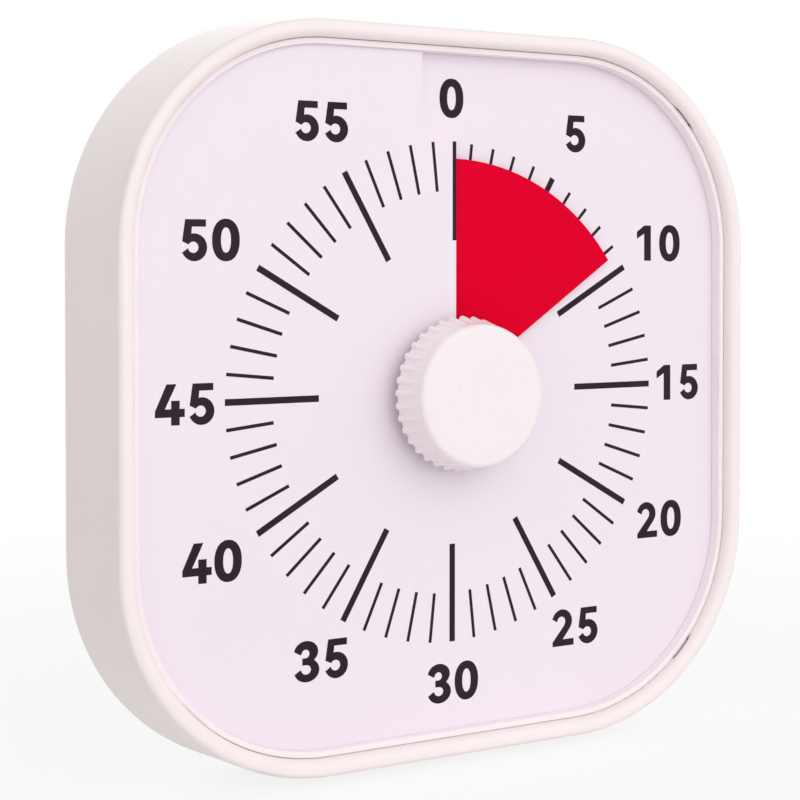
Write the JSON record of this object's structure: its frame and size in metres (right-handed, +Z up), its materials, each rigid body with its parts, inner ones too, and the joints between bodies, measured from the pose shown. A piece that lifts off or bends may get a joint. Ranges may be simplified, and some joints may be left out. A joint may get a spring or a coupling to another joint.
{
  "type": "visual countdown timer",
  "caption": "Square visual countdown timer with a printed minute dial, a red disc that shows the time left, a ribbed setting knob, board magnets and a fold-out stand.",
  "frame": {"origin": "on the knob's axis, in the plane of the flat back", "axes": "+X to the viewer's right, +Z up, +Y from the dial into the board behind the timer"},
  "size_m": [0.2, 0.041, 0.2],
  "materials": {
    "shell_white": "satin moulded",
    "ring_white": "satin moulded",
    "dial_print": "printed sheet",
    "red_film": "smooth film",
    "knob_white": "satin moulded",
    "natural_plastic": "moulded",
    "grey_plastic": "moulded",
    "black_plastic": "moulded",
    "steel": "turned",
    "screw_steel": "plated",
    "soft_iron": "stamped",
    "copper_wire": "enamelled",
    "magnet_plating": "plated",
    "board_green": "lacquered",
    "battery_jacket": "printed jacket"
  },
  "bodies": {
    "housing": {"front_housing": "shell_white", "dial_ring": "ring_white", "dial_sheet": "dial_print", "movement_case": "grey_plastic", "movement_cover": "grey_plastic", "stator_plate": "soft_iron", "coil_core": "soft_iron", "coil_spool": "natural_plastic", "motor_coil": "copper_wire", "movement_screws": "screw_steel", "rear_cover": "shell_white", "cover_screws": "screw_steel", "board_magnets": "magnet_plating", "hinge_pin": "steel", "battery": "battery_jacket", "positive_contact": "steel", "negative_spring": "steel", "circuit_board": "board_green", "board_screws": "screw_steel", "controller_chip": "black_plastic", "quartz_crystal": "magnet_plating", "switch_body": "black_plastic", "buzzer": "black_plastic"},
    "knob_and_shaft": {"knob": "knob_white", "drive_shaft": "steel", "shaft_clip": "steel", "clutch_spring": "steel"},
    "disc": {"time_disc": "red_film", "disc_hub": "natural_plastic", "disc_clamp": "natural_plastic"},
    "centre_gear": {"centre_wheel": "natural_plastic"},
    "third_gear": {"third_wheel": "natural_plastic"},
    "second_gear": {"second_wheel": "natural_plastic"},
    "rotor": {"rotor_arbor": "natural_plastic", "rotor_magnet": "magnet_plating"},
    "stand": {"stand_leg": "shell_white"},
    "door": {"battery_door": "shell_white"},
    "alarm_button": {"alarm_slider": "black_plastic"}
  },
  "joints": [
    {"name": "knob_turn", "type": "hinge", "parent": "housing", "child": "knob_and_shaft", "pos_m": [0, -0.035, 0], "axis": [0, 1, 0], "range_deg": [-55.5, 304.5]},
    {"name": "disc_slide", "type": "slide", "parent": "knob_and_shaft", "child": "disc", "axis": [0, -1, 0], "range_m": [-0.00047, 0.00255]},
    {"name": "centre_wheel_turn", "type": "hinge", "parent": "housing", "child": "centre_gear", "pos_m": [0, -0.012, 0], "axis": [0, 1, 0], "continuous": true},
    {"name": "third_wheel_turn", "type": "hinge", "parent": "housing", "child": "third_gear", "pos_m": [-0.014, -0.012, 0], "axis": [0, 1, 0], "continuous": true},
    {"name": "second_wheel_turn", "type": "hinge", "parent": "housing", "child": "second_gear", "pos_m": [-0.02, -0.012, -0.01039], "axis": [0, 1, 0], "continuous": true},
    {"name": "rotor_turn", "type": "hinge", "parent": "housing", "child": "rotor", "pos_m": [-0.01197, -0.012, -0.01931], "axis": [0, 1, 0], "continuous": true},
    {"name": "stand_hinge", "type": "hinge", "parent": "housing", "child": "stand", "pos_m": [0, -0.0018, -0.014], "axis": [1, 0, 0], "range_deg": [0, 26]},
    {"name": "battery_door_hinge", "type": "hinge", "parent": "housing", "child": "door", "pos_m": [-0.0308, 0, 0.048], "axis": [0, 0, 1], "range_deg": [0, 90]},
    {"name": "alarm_switch_slide", "type": "slide", "parent": "housing", "child": "alarm_button", "axis": [1, 0, 0], "range_m": [-0.002, 0.002]}
  ],
  "couplings": [
    {"joint": "disc_slide", "follows": "knob_turn", "m_per_rad": 0.00047746},
    {"joint": "third_wheel_turn", "follows": "centre_wheel_turn", "ratio": -6},
    {"joint": "second_wheel_turn", "follows": "centre_wheel_turn", "ratio": 30},
    {"joint": "rotor_turn", "follows": "centre_wheel_turn", "ratio": -150}
  ]
}
